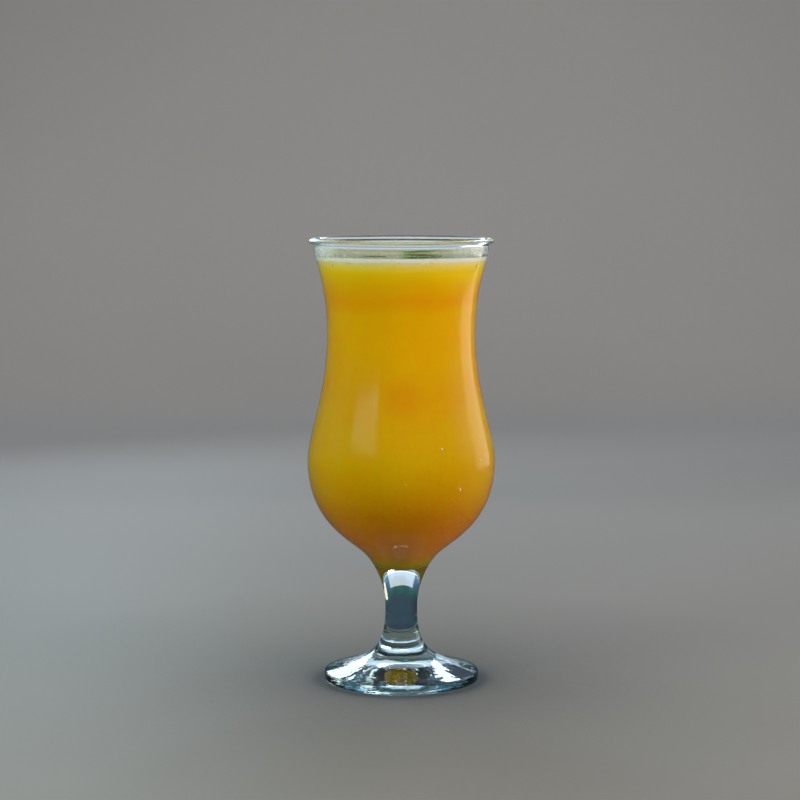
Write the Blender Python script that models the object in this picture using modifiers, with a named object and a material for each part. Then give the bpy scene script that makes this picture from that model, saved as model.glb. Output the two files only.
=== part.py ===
"""Mango smoothie in a footed tulip glass, with mint leaves lying on its froth.

Units are metres and +Z is up. The origin is the middle of the foot's underside, on the table.
The glass, the drink and its froth are turned about the Z axis. The leaves are thin wavy sheets.
"""

import math
from collections import namedtuple

import bmesh
import bpy

COLLECTION = "mango_smoothie"
TURN_STEPS = 48
TOUCH_GAP = 0.0003
MERGE_DISTANCE = 0.00002

# How many straight steps each stretch of an outline gets
INNER_STEPS = (2, 5, 6, 10)
LIP_STEPS = (3, 3, 3, 2)
OUTER_STEPS = (2, 5, 6, 8, 5, 9)
CORNER_STEPS = 3
UNDERSIDE_STEPS = 7

# A knot is a point that an outline passes through: its radius and height, the direction it is
# going (degrees from straight down, outward positive), and how far it keeps to that direction
# before and after the point.
Knot = namedtuple("Knot", "radius height heading before after")

# Glass, outside: the lip, the flared mouth, the waist, the bulb, the stem and the foot
GLASS_HEIGHT = 0.195
LIP_TOP = Knot(0.0386, GLASS_HEIGHT, 90, 0.0013, 0.0008)
LIP_TIP = Knot(0.0401, 0.1938, 0, 0.0006, 0.0006)
LIP_UNDER = Knot(0.0389, 0.1927, -88, 0.0006, 0.0004)
NECK = Knot(0.0380, 0.1915, 0, 0.0005, 0.0010)
MOUTH = Knot(0.0380, 0.1888, -15, 0.0010, 0.0060)
WAIST = Knot(0.0324, 0.1530, 0, 0.0190, 0.0240)
BULB = Knot(0.0412, 0.0980, 0, 0.0096, 0.0278)
BULB_BASE = Knot(0.0160, 0.0562, -44, 0.0090, 0.0041)
STEM = Knot(0.0070, 0.0322, 0, 0.0123, 0.0184)
FOOT_RADIUS = 0.034
FOOT_EDGE = 0.0043
FOOT_CORNER = 0.0008
FOOT_SLOPE = 75
FOOT_SWEEP = 0.0225

# Glass, inside: the wall is thin at the mouth and thickens towards the floor
MOUTH_WALL = 0.0019
WAIST_WALL = 0.0020
BULB_WALL = 0.0022
LIP_INNER = Knot(0.0366, 0.1924, -8, 0.0018, 0.0010)
FLOOR_HEIGHT = 0.0515
FLOOR_FLAT = 0.010

# Glass, underside: a flat ring to stand on, round a shallow dome
RING_INNER_RADIUS = 0.027
RING_FLAT = 0.010
DOME_HEIGHT = 0.0024
DOME_FLAT = 0.012

# Drink and froth
FROTH_TOP = 0.1870
FROTH_DEPTH = 0.0050
MENISCUS_RISE = 0.0005
MENISCUS_WIDTH = 0.0016
MENISCUS_MIDDLE = 0.4
MENISCUS_SAG = 0.35

# Mint leaves
LEAF_THICKNESS = 0.0005
LEAF_ROWS = 14
LEAF_COLUMNS = 4
LEAF_BLUNT = 0.035
LEAF_TAPER = 0.85
LEAF_ROUNDNESS = 0.7
LEAF_TOOTH = 0.06
LEAF_FOLD = 0.00035
LEAF_WAVES = 2.2
LEAF_SKEW = 1.6

# name, length, width, middle X, middle Y, heading in degrees, how far the tip lifts, wave height
LEAVES = (
    ("mint_leaf_right", 0.0215, 0.0095, 0.0098, -0.0075, 36, 0.0014, 0.00030),
    ("mint_leaf_left", 0.0130, 0.0070, -0.0125, 0.0010, 175, 0.0004, 0.00030),
    ("mint_leaf_edge", 0.0095, 0.0055, -0.0275, 0.0120, 66, 0.0003, 0.00020),
)


def clear_objects():
    """Removes whatever objects the scene holds."""
    for item in list(bpy.data.objects):
        bpy.data.objects.remove(item, do_unlink=True)


def new_collection(name):
    """Makes the collection that holds the object's pieces."""
    collection = bpy.data.collections.new(name)
    bpy.context.scene.collection.children.link(collection)
    return collection


def new_material(name, colour, roughness, transmission=0.0, ior=1.45):
    """Makes a Principled material of one colour."""
    material = bpy.data.materials.new(name)
    material.use_nodes = True
    shader = material.node_tree.nodes["Principled BSDF"]
    shader.inputs["Base Color"].default_value = (*colour, 1.0)
    shader.inputs["Roughness"].default_value = roughness
    shader.inputs["Metallic"].default_value = 0.0
    shader.inputs["Transmission Weight"].default_value = transmission
    shader.inputs["IOR"].default_value = ior
    material.diffuse_color = (*colour, 1.0)
    return material


def along(knot, distance):
    """The point at a distance from a knot, in the direction that the outline is going."""
    heading = math.radians(knot.heading)
    return (
        knot.radius + distance * math.sin(heading),
        knot.height - distance * math.cos(heading),
    )


def span(start, end, count):
    """Points of the cubic curve from one knot to the next, with both ends."""
    corners = (
        (start.radius, start.height),
        along(start, start.after),
        along(end, -end.before),
        (end.radius, end.height),
    )
    points = []
    for step in range(count + 1):
        t = step / count
        weights = ((1 - t) ** 3, 3 * t * (1 - t) ** 2, 3 * t * t * (1 - t), t ** 3)
        points.append(tuple(sum(w * c[axis] for w, c in zip(weights, corners)) for axis in (0, 1)))
    return points


def arc(radius, height, size, first, last, count):
    """Points of a circular arc round (radius, height), from one angle to another in degrees."""
    points = []
    for step in range(count + 1):
        angle = math.radians(first + (last - first) * step / count)
        points.append((radius + size * math.cos(angle), height + size * math.sin(angle)))
    return points


def chain(knots, counts):
    """Points of the curve through several knots, without the last knot."""
    points = []
    for start, end, count in zip(knots, knots[1:], counts):
        points += span(start, end, count)[:-1]
    return points


def inner_wall():
    """The inside of the glass, from the lip down to the middle of the floor."""
    mouth = MOUTH._replace(radius=MOUTH.radius - MOUTH_WALL)
    waist = WAIST._replace(radius=WAIST.radius - WAIST_WALL)
    bulb = BULB._replace(radius=BULB.radius - BULB_WALL)
    floor = Knot(0.0, FLOOR_HEIGHT, -90, FLOOR_FLAT, 0.0)
    return chain((LIP_INNER, mouth, waist, bulb, floor), INNER_STEPS) + [(0.0, FLOOR_HEIGHT)]


def lip():
    """The rounded lip, from its inner side over the top to the neck under it."""
    rising = LIP_INNER._replace(heading=LIP_INNER.heading + 180, after=LIP_INNER.before)
    return chain((rising, LIP_TOP, LIP_TIP, LIP_UNDER, NECK), LIP_STEPS)[1:]


def foot_corner(height, first, last):
    """A rounded corner of the foot's edge, its middle at a height."""
    return arc(FOOT_RADIUS - FOOT_CORNER, height, FOOT_CORNER, first, last, CORNER_STEPS)


def outer_wall():
    """The outside of the glass, from the neck down to the ring that it stands on."""
    upper = foot_corner(FOOT_EDGE - FOOT_CORNER, FOOT_SLOPE, 0)
    lower = foot_corner(FOOT_CORNER, 0, -90)
    foot_top = Knot(*upper[0], FOOT_SLOPE, FOOT_SWEEP, 0.0)
    knots = (NECK, MOUTH, WAIST, BULB, BULB_BASE, STEM, foot_top)
    return chain(knots, OUTER_STEPS) + upper + lower


def underside():
    """The flat ring and the shallow dome inside it, ending at the middle."""
    ring = Knot(RING_INNER_RADIUS, 0.0, -90, 0.0, RING_FLAT)
    centre = Knot(0.0, DOME_HEIGHT, -90, DOME_FLAT, 0.0)
    return span(ring, centre, UNDERSIDE_STEPS)


def glass_outline():
    """The glass's section: up the inside, over the lip, down the outside and under the foot."""
    return inner_wall()[::-1] + lip() + outer_wall() + underside()


def drawn_in(points, gap):
    """Moves a wall's points away from the glass by the gap, square to the wall."""
    moved = []
    for index, (radius, height) in enumerate(points):
        before = points[max(index - 1, 0)]
        after = points[min(index + 1, len(points) - 1)]
        across, down = after[0] - before[0], after[1] - before[1]
        length = math.hypot(across, down)
        moved.append((radius + gap * down / length, height - gap * across / length))
    moved[-1] = (0.0, points[-1][1] + gap)
    return moved


def cut_at(points, level):
    """Splits a wall that runs downward at a level. Returns the parts above and below it."""
    for index, (upper, lower) in enumerate(zip(points, points[1:])):
        if upper[1] >= level > lower[1]:
            share = (upper[1] - level) / (upper[1] - lower[1])
            crossing = (upper[0] + share * (lower[0] - upper[0]), level)
            return points[:index + 1] + [crossing], [crossing] + points[index + 1:]
    return points, []


def drink_outline():
    """The drink's section: a flat top under the froth, then down along the glass."""
    wall = drawn_in(inner_wall(), TOUCH_GAP)
    below = cut_at(wall, FROTH_TOP - FROTH_DEPTH - TOUCH_GAP)[1]
    top = below[0]
    return [(0.0, top[1]), (top[0] / 2, top[1])] + below


def froth_outline():
    """The froth's section: a level top that climbs a little where it wets the glass."""
    wall = drawn_in(inner_wall(), TOUCH_GAP)
    below = cut_at(wall, FROTH_TOP + MENISCUS_RISE)[1]
    side = cut_at(below, FROTH_TOP - FROTH_DEPTH)[0]
    edge = side[0][0]
    bottom = side[-1]
    top = [
        (0.0, FROTH_TOP),
        (edge / 2, FROTH_TOP),
        (edge - MENISCUS_WIDTH, FROTH_TOP),
        (edge - MENISCUS_WIDTH * MENISCUS_MIDDLE, FROTH_TOP + MENISCUS_RISE * MENISCUS_SAG),
    ]
    return top + side + [(bottom[0] / 2, bottom[1]), (0.0, bottom[1])]


def turned(name, outline, material, collection):
    """Makes a piece turned about Z from its section, which runs down its outer side."""
    mesh = bpy.data.meshes.new(name)
    verts = [(radius, 0.0, height) for radius, height in outline]
    edges = [(index, index + 1) for index in range(len(verts) - 1)]
    mesh.from_pydata(verts, edges, [])
    piece = bpy.data.objects.new(name, mesh)
    mesh.materials.append(material)
    collection.objects.link(piece)
    screw = piece.modifiers.new("turn", "SCREW")
    screw.axis = "Z"
    screw.angle = math.tau
    screw.steps = TURN_STEPS
    screw.render_steps = TURN_STEPS
    screw.use_merge_vertices = True
    screw.merge_threshold = MERGE_DISTANCE
    screw.use_smooth_shade = True
    return piece


def leaf_share(u, row):
    """The leaf's width as a share of its widest, at a place from its stalk (0) to its tip (1)."""
    place = LEAF_BLUNT + (1 - 2 * LEAF_BLUNT) * u
    blade = math.sin(math.pi * place ** LEAF_TAPER) ** LEAF_ROUNDNESS
    return blade * (1 + LEAF_TOOTH * (-1) ** row)


def leaf(name, length, width, middle_x, middle_y, heading, lift, wave, material, collection):
    """Makes a thin wavy mint leaf that lies on the froth and lifts towards its tip."""
    bm = bmesh.new()
    bmesh.ops.create_grid(bm, x_segments=LEAF_ROWS, y_segments=LEAF_COLUMNS, size=0.5)
    for vert in bm.verts:
        u = vert.co.x + 0.5
        v = vert.co.y * 2
        row = round(u * LEAF_ROWS)
        vert.co.x = vert.co.x * length
        vert.co.y = v * width / 2 * leaf_share(u, row)
        fold = LEAF_FOLD * abs(v) * (1 - u)
        ripple = wave * abs(v) * math.sin(LEAF_WAVES * math.tau * u + LEAF_SKEW * v)
        vert.co.z = lift * u ** 2 + fold + ripple
    bmesh.ops.triangulate(bm, faces=bm.faces[:])
    lowest = min(vert.co.z for vert in bm.verts)
    mesh = bpy.data.meshes.new(name)
    bm.to_mesh(mesh)
    bm.free()
    mesh.materials.append(material)
    mesh.shade_smooth()
    piece = bpy.data.objects.new(name, mesh)
    collection.objects.link(piece)
    height = FROTH_TOP + TOUCH_GAP + LEAF_THICKNESS / 2 - lowest
    piece.location = (middle_x, middle_y, height)
    piece.rotation_euler.z = math.radians(heading)
    shell = piece.modifiers.new("thickness", "SOLIDIFY")
    shell.thickness = LEAF_THICKNESS
    shell.offset = 0.0
    return piece


def build():
    """Builds every piece of the drink and its glass."""
    clear_objects()
    collection = new_collection(COLLECTION)
    glass = new_material("clear_glass", (0.93, 0.97, 0.97), 0.03, transmission=1.0, ior=1.5)
    mango = new_material("mango_drink", (0.80, 0.42, 0.01), 0.35)
    froth = new_material("pale_froth", (0.78, 0.72, 0.52), 0.55)
    mint = new_material("mint_green", (0.12, 0.25, 0.05), 0.45)
    turned("glass", glass_outline(), glass, collection)
    turned("drink", drink_outline(), mango, collection)
    turned("froth", froth_outline(), froth, collection)
    for sizes in LEAVES:
        leaf(*sizes, mint, collection)


build()
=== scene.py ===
"""Looks of a mango smoothie in a footed tulip glass, with mint leaves lying on its froth.

Units are metres and +Z is up. The origin is the middle of the foot's underside, on the table, and
the camera looks along +Y. Each sub-assembly is a class that holds its own sizes, builds its meshes
and dresses them with a finish.
"""

import logging
import math
import random
from dataclasses import dataclass, field
from enum import Enum
from functools import cache
from typing import Callable, Iterable, NamedTuple, Optional, Sequence, Union

import bmesh
import bpy
from mathutils import Euler, Matrix, Vector, noise


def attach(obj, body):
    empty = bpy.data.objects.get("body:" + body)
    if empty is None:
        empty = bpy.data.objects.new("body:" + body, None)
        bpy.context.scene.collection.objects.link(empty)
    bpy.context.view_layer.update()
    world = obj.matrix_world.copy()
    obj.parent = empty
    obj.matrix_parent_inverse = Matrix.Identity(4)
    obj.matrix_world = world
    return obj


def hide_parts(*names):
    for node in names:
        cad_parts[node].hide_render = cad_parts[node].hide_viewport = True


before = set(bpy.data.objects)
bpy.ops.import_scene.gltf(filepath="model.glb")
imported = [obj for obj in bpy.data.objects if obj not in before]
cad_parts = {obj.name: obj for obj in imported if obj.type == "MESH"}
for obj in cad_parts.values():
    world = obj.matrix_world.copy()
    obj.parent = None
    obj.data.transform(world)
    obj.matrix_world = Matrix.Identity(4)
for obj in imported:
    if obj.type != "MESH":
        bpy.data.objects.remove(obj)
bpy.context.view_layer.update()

LOG = logging.getLogger("mango_smoothie")
BLACK = (0.0, 0.0, 0.0)
BODY = "root"
POLE_RADIUS = 1e-7
UNSTRETCHED = (1.0, 1.0, 1.0)

Point = tuple[float, float]
Place = tuple[float, float, float]
Colour = tuple[float, float, float]
Layer = tuple[float, Colour]
Socket = bpy.types.NodeSocket
Value = Union[float, Colour, Socket]


class Slot(Enum):
    """Material slots of the record that the pieces take their finish from."""

    GLASS = "clear_glass"
    DRINK = "mango_drink"
    FROTH = "pale_froth"
    MINT = "mint_green"


class Node(Enum):
    """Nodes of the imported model."""

    GLASS = "glass"
    DRINK = "drink"
    FROTH = "froth"
    LEAF_RIGHT = "mint_leaf_right"
    LEAF_LEFT = "mint_leaf_left"
    LEAF_EDGE = "mint_leaf_edge"


class Knot(NamedTuple):
    """A point that an outline passes through.

    heading is the way the outline goes there, in degrees from straight down and outward positive.
    before and after say how far it keeps to that heading on either side of the point.
    """

    radius: float
    height: float
    heading: float
    before: float
    after: float

    def along(self, distance: float) -> Point:
        """Returns the point at a distance along the heading."""
        turn = math.radians(self.heading)
        return self.radius + distance * math.sin(turn), self.height - distance * math.cos(turn)


def span(start: Knot, end: Knot, count: int) -> list[Point]:
    """Samples the cubic curve from one knot to the next.

    Args:
        start: Knot that the curve leaves.
        end: Knot that it reaches.
        count: Number of steps.

    Returns:
        The points, with both ends.
    """
    corners = (
        (start.radius, start.height),
        start.along(start.after),
        end.along(-end.before),
        (end.radius, end.height),
    )
    points = []
    for step in range(count + 1):
        t = step / count
        weights = ((1 - t) ** 3, 3 * t * (1 - t) ** 2, 3 * t * t * (1 - t), t**3)
        radius, height = (sum(w * c[axis] for w, c in zip(weights, corners)) for axis in (0, 1))
        points.append((radius, height))
    return points


def chain(knots: Sequence[Knot], counts: Sequence[int]) -> list[Point]:
    """Joins the curves through several knots.

    Args:
        knots: Knots in order.
        counts: Steps of each curve between two knots.

    Returns:
        The points, without the last knot.
    """
    points: list[Point] = []
    for start, end, count in zip(knots, knots[1:], counts):
        points += span(start, end, count)[:-1]
    return points


def arc(middle: Point, size: float, first: float, last: float, count: int) -> list[Point]:
    """Samples a circular arc.

    Args:
        middle: Centre of the arc.
        size: Its radius.
        first: Angle that it starts at, in degrees.
        last: Angle that it ends at.
        count: Number of steps.

    Returns:
        The points, with both ends.
    """
    turns = [math.radians(first + (last - first) * step / count) for step in range(count + 1)]
    return [(middle[0] + size * math.cos(t), middle[1] + size * math.sin(t)) for t in turns]


def radius_at(wall: Sequence[Point], height: float) -> float:
    """Reads a wall's radius at a height.

    Args:
        wall: Points of a wall that runs downward.
        height: Height to read at.

    Returns:
        The radius there, or that of the wall's nearer end.
    """
    if height >= wall[0][1]:
        return wall[0][0]
    for (upper_radius, upper), (lower_radius, lower) in zip(wall, wall[1:]):
        if upper >= height > lower:
            return upper_radius + (upper - height) / (upper - lower) * (lower_radius - upper_radius)
    return wall[-1][0]


def shifted(points: Sequence[Point], distance: float) -> list[Point]:
    """Moves a wall that runs downward square to itself.

    Args:
        points: The wall, ending on the axis.
        distance: How far it moves outward.

    Returns:
        The moved wall, still ending on the axis.
    """
    moved = []
    for index, (radius, height) in enumerate(points):
        before, after = points[max(index - 1, 0)], points[min(index + 1, len(points) - 1)]
        across, down = after[0] - before[0], after[1] - before[1]
        length = math.hypot(across, down)
        moved.append((radius - distance * down / length, height + distance * across / length))
    moved[-1] = (0.0, points[-1][1] - distance)
    return moved


def smooth_mesh(
    name: str, verts: Sequence[Vector], faces: Sequence[Sequence[int]]
) -> bpy.types.Mesh:
    """Makes a smooth mesh.

    Args:
        name: Its name.
        verts: Its points.
        faces: Its faces, as numbers of points.

    Returns:
        The mesh.
    """
    mesh = bpy.data.meshes.new(name)
    mesh.from_pydata(verts, [], faces)
    mesh.shade_smooth()
    return mesh


def placed(name: str, data: bpy.types.ID) -> bpy.types.Object:
    """Puts a mesh, lamp or camera into the scene.

    Args:
        name: Name of the object.
        data: What it shows.

    Returns:
        The object.
    """
    made = bpy.data.objects.new(name, data)
    bpy.context.scene.collection.objects.link(made)
    return made


def area_lamp(name: str, size: Point, power: float, colour: Colour) -> bpy.types.Object:
    """Makes a lamp that the camera doesn't see.

    Args:
        name: Its name.
        size: Its width and height.
        power: Its power in watts.
        colour: Colour of its light.

    Returns:
        The lamp, still at the origin.
    """
    data = bpy.data.lights.new(name, "AREA")
    data.shape = "RECTANGLE"
    data.size, data.size_y = size
    data.energy = power
    data.color = colour
    lamp = placed(name, data)
    lamp.visible_camera = False
    return lamp


def on_wall(turn: float, radius: float, height: float, side: int, tilt: float = 0.0) -> Matrix:
    """Gives the place of a small thing on a wall of the glass, with its own Z square to the wall.

    Args:
        turn: Angle round the axis, in radians.
        radius: Distance from the axis.
        height: Height on the wall.
        side: 1 where it faces outward, -1 where it faces the axis.
        tilt: How far it looks up, per unit that it looks sideways.

    Returns:
        The matrix of the thing.
    """
    across = Vector((math.cos(turn), math.sin(turn), 0.0))
    facing = Vector((side * across.x, side * across.y, tilt)).normalized()
    turned = facing.to_track_quat("Z", "Y").to_matrix().to_4x4()
    return Matrix.Translation(across * radius + Vector((0.0, 0.0, height))) @ turned


def lathe(
    name: str,
    outline: Sequence[Point],
    steps: int,
    relief: Optional[Callable[[float, float, float], Point]] = None,
) -> bpy.types.Mesh:
    """Turns an outline about Z into a smooth closed mesh.

    Args:
        name: Name of the mesh.
        outline: Section that starts and ends on the axis.
        steps: Faces round the axis.
        relief: Gives the changes of radius and height at a radius, height and turn.

    Returns:
        The mesh, with its faces pointing out.
    """
    verts: list[Vector] = []
    rings: list[list[int]] = []
    for radius, height in outline:
        if radius < POLE_RADIUS:
            rings.append([len(verts)])
            verts.append(Vector((0.0, 0.0, height)))
            continue
        rings.append(list(range(len(verts), len(verts) + steps)))
        for step in range(steps):
            turn = math.tau * step / steps
            wider, higher = relief(radius, height, turn) if relief else (0.0, 0.0)
            reach = radius + wider
            verts.append(
                Vector((reach * math.cos(turn), reach * math.sin(turn), height + higher))
            )
    faces: list[tuple[int, ...]] = []
    for upper, lower in zip(rings, rings[1:]):
        for step in range(steps):
            after = (step + 1) % steps
            if len(upper) == 1:
                faces.append((upper[0], lower[step], lower[after]))
            elif len(lower) == 1:
                faces.append((upper[step], lower[0], upper[after]))
            else:
                faces.append((upper[step], lower[step], lower[after], upper[after]))
    return smooth_mesh(name, verts, faces)


def dome_mesh(name: str, domes: Iterable[Matrix], rings: int, sides: int) -> bpy.types.Mesh:
    """Joins many half spheres, each with a flat base, into one mesh.

    Args:
        name: Name of the mesh.
        domes: Each dome's place, as the matrix of a unit dome.
        rings: Rings of faces from a dome's top to its base.
        sides: Faces round a dome.

    Returns:
        The joined mesh.
    """
    unit = [Vector((0.0, 0.0, 1.0))]
    for ring in range(1, rings + 1):
        fall = math.pi / 2 * ring / rings
        for side in range(sides):
            turn = math.tau * (side + 0.5 * (ring % 2)) / sides
            across = math.sin(fall)
            unit.append(
                Vector((across * math.cos(turn), across * math.sin(turn), math.cos(fall)))
            )
    verts: list[Vector] = []
    faces: list[tuple[int, ...]] = []
    for place in domes:
        first = len(verts)
        verts += [place @ spot for spot in unit]
        for side in range(sides):
            after = (side + 1) % sides
            faces.append((first, first + 1 + side, first + 1 + after))
            for ring in range(rings - 1):
                upper, lower = first + 1 + ring * sides, first + 1 + (ring + 1) * sides
                faces.append((upper + side, lower + side, lower + after, upper + after))
        base = first + 1 + (rings - 1) * sides
        faces.append(tuple(base + side for side in reversed(range(sides))))
    return smooth_mesh(name, verts, faces)


class Grain(NamedTuple):
    """A noise: features per metre, octaves, strength of the finer ones and stretch per axis."""

    scale: float
    detail: float = 3.0
    rough: float = 0.5
    stretch: Place = UNSTRETCHED


class Fade(NamedTuple):
    """A change from first, where a value is at start or before it, to last, at end or past it."""

    start: float
    end: float
    first: float = 0.0
    last: float = 1.0


class Graph:
    """Node tree of one material or world, with short calls for the nodes that are used."""

    def __init__(self, tree: bpy.types.NodeTree) -> None:
        """Starts with an empty tree."""
        self.tree = tree
        tree.nodes.clear()

    def add(self, kind: str, inputs: Optional[dict] = None, **settings: object) -> bpy.types.Node:
        """Adds a node.

        Args:
            kind: Blender's name of the node type, without ShaderNode.
            inputs: Values or sockets for its inputs, by name or number.
            settings: Properties of the node.

        Returns:
            The node.
        """
        node = self.tree.nodes.new("ShaderNode" + kind)
        for name, value in settings.items():
            setattr(node, name, value)
        for key, value in (inputs or {}).items():
            socket = node.inputs[key]
            if isinstance(value, Socket):
                self.tree.links.new(value, socket)
            elif isinstance(value, tuple) and socket.type == "RGBA":
                socket.default_value = (*value, 1.0)
            else:
                socket.default_value = value
        return node

    def math(self, operation: str, *values: Value) -> Socket:
        """Adds a Math node and returns its result."""
        return self.add("Math", dict(enumerate(values)), operation=operation).outputs[0]

    def product(self, *values: Value) -> Socket:
        """Multiplies two or more values.

        Args:
            values: The values.

        Returns:
            Their product.
        """
        result = values[0]
        for value in values[1:]:
            result = self.math("MULTIPLY", result, value)
        return result

    def place(self) -> Socket:
        """Returns the object coordinates."""
        return self.add("TexCoord").outputs["Object"]

    def split(self, vector: Socket) -> tuple[Socket, Socket, Socket]:
        """Returns the parts of a vector."""
        node = self.add("SeparateXYZ", {0: vector})
        return node.outputs[0], node.outputs[1], node.outputs[2]

    def axes(self) -> tuple[Socket, Socket, Socket]:
        """Returns the object coordinates one by one."""
        return self.split(self.place())

    def reach(self) -> Socket:
        """Returns the distance from the Z axis."""
        x, y, _ = self.axes()
        return self.math("SQRT", self.math("MULTIPLY_ADD", x, x, self.math("MULTIPLY", y, y)))

    def distance(self, spot: Place) -> Socket:
        """Returns the distance from a spot."""
        node = self.add("VectorMath", {0: self.place(), 1: spot}, operation="DISTANCE")
        return node.outputs["Value"]

    def noise(self, grain: Grain, place: Optional[Socket] = None) -> Socket:
        """Adds a noise texture.

        Args:
            grain: How fine it is.
            place: Coordinates, the object's own unless given.

        Returns:
            The noise value.
        """
        place = place or self.place()
        if grain.stretch != UNSTRETCHED:
            place = self.add("Mapping", {"Vector": place, "Scale": grain.stretch}).outputs[0]
        inputs = {
            "Vector": place,
            "Scale": grain.scale,
            "Detail": grain.detail,
            "Roughness": grain.rough,
        }
        return self.add("TexNoise", inputs).outputs[0]

    def wandering(
        self, value: Socket, grain: Grain, reach: float, place: Optional[Socket] = None
    ) -> Socket:
        """Moves a value up and down a little from place to place.

        Args:
            value: The value.
            grain: How fine the changes are.
            reach: The whole range of the changes.
            place: Coordinates, the object's own unless given.

        Returns:
            The moved value.
        """
        shift = self.math("MULTIPLY_ADD", self.noise(grain, place), reach, -reach / 2)
        return self.math("ADD", value, shift)

    def cells(self, scale: float, smooth: Optional[float] = None) -> Socket:
        """Adds a Voronoi texture in the object's coordinates.

        Args:
            scale: Cells per metre.
            smooth: How far the cells run into each other, or none for sharp ones.

        Returns:
            The distance value.
        """
        feature = "F1" if smooth is None else "SMOOTH_F1"
        node = self.add("TexVoronoi", {"Vector": self.place()}, feature=feature)
        node.inputs["Scale"].default_value = scale
        if smooth is not None:
            node.inputs["Smoothness"].default_value = smooth
        return node.outputs["Distance"]

    def ramp(self, value: Socket, stops: Sequence[Layer]) -> Socket:
        """Adds a colour ramp.

        Args:
            value: What picks the colour.
            stops: Places from 0 to 1 and their colours.

        Returns:
            The colour.
        """
        node = self.add("ValToRGB", {0: value})
        elements = node.color_ramp.elements
        while len(elements) < len(stops):
            elements.new(0.5)
        for element, (place, colour) in zip(elements, stops):
            element.position = place
            element.color = (*colour, 1.0)
        return node.outputs[0]

    def layered(self, height: Socket, bottom: float, top: float, layers: Sequence[Layer]) -> Socket:
        """Colours something by its height.

        Args:
            height: The height.
            bottom: Lowest height that the ramp covers.
            top: Highest height.
            layers: Heights and their colours.

        Returns:
            The colour.
        """
        stops = [((at - bottom) / (top - bottom), colour) for at, colour in layers]
        return self.ramp(self.fade(height, Fade(bottom, top)), stops)

    def fade(self, value: Value, fade: Fade) -> Socket:
        """Maps a value by a fade."""
        inputs = dict(enumerate((value, *fade)))
        return self.add("MapRange", inputs, interpolation_type="LINEAR").outputs[0]

    def within(self, value: Value, *fades: Fade) -> Socket:
        """Multiplies several fades of one value."""
        return self.product(*(self.fade(value, fade) for fade in fades))

    def blend(self, share: Value, first: Value, second: Value) -> Socket:
        """Mixes two colours.

        Args:
            share: Share of the second colour.
            first: First colour.
            second: Second colour.

        Returns:
            The mixed colour.
        """
        node = self.add("Mix", data_type="RGBA", blend_type="MIX")
        for index, value in ((0, share), (6, first), (7, second)):
            if isinstance(value, Socket):
                self.tree.links.new(value, node.inputs[index])
            else:
                node.inputs[index].default_value = (*value, 1.0) if index else value
        return node.outputs[2]

    def facing(self, blend: float) -> Socket:
        """Returns how far the surface turns from the eye, from 0 to 1."""
        return self.add("LayerWeight", {"Blend": blend}).outputs["Facing"]

    def bump(self, height: Socket, strength: float, depth: float) -> Socket:
        """Adds a bump and returns its normal."""
        inputs = {"Height": height, "Strength": strength, "Distance": depth}
        return self.add("Bump", inputs).outputs[0]

    def matter(self, inputs: dict) -> Socket:
        """Adds a Principled shader and returns it."""
        return self.add("BsdfPrincipled", inputs).outputs[0]

    def mixed(self, share: Value, first: Socket, second: Socket) -> Socket:
        """Mixes two shaders, the second by its share."""
        return self.add("MixShader", {0: share, 1: first, 2: second}).outputs[0]

    def finish(self, surface: Socket, volume: Optional[Socket] = None) -> None:
        """Connects the output."""
        output = self.add("OutputMaterial", {"Surface": surface})
        if volume is not None:
            self.tree.links.new(volume, output.inputs["Volume"])


@dataclass(frozen=True)
class Finish:
    """A finish that makes its material once."""

    name: str
    slot: Optional[Slot] = None
    shown: Colour = (0.5, 0.5, 0.5)

    @cache
    def material(self) -> bpy.types.Material:
        """Makes the material, once.

        Returns:
            The material, painted by the finish.
        """
        made = bpy.data.materials.new(self.name)
        made.use_nodes = True
        made.diffuse_color = (*self.shown, 1.0)
        self.paint(Graph(made.node_tree))
        return made

    def paint(self, graph: Graph) -> None:
        """Fills in the node tree."""
        raise NotImplementedError


def lets_lamps_through(graph: Graph, solid: Socket, tint: Colour) -> Socket:
    """Lets lamps light what is behind glass.

    Args:
        graph: Tree of the material.
        solid: Shader of the glass.
        tint: Share of the lamps' light that passes each surface.

    Returns:
        The mixed shader.
    """
    rays = graph.add("LightPath").outputs
    straight = graph.math("MAXIMUM", rays["Is Shadow Ray"], rays["Is Diffuse Ray"])
    clear = graph.add("BsdfTransparent", {"Color": tint}).outputs[0]
    return graph.mixed(straight, solid, clear)


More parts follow.
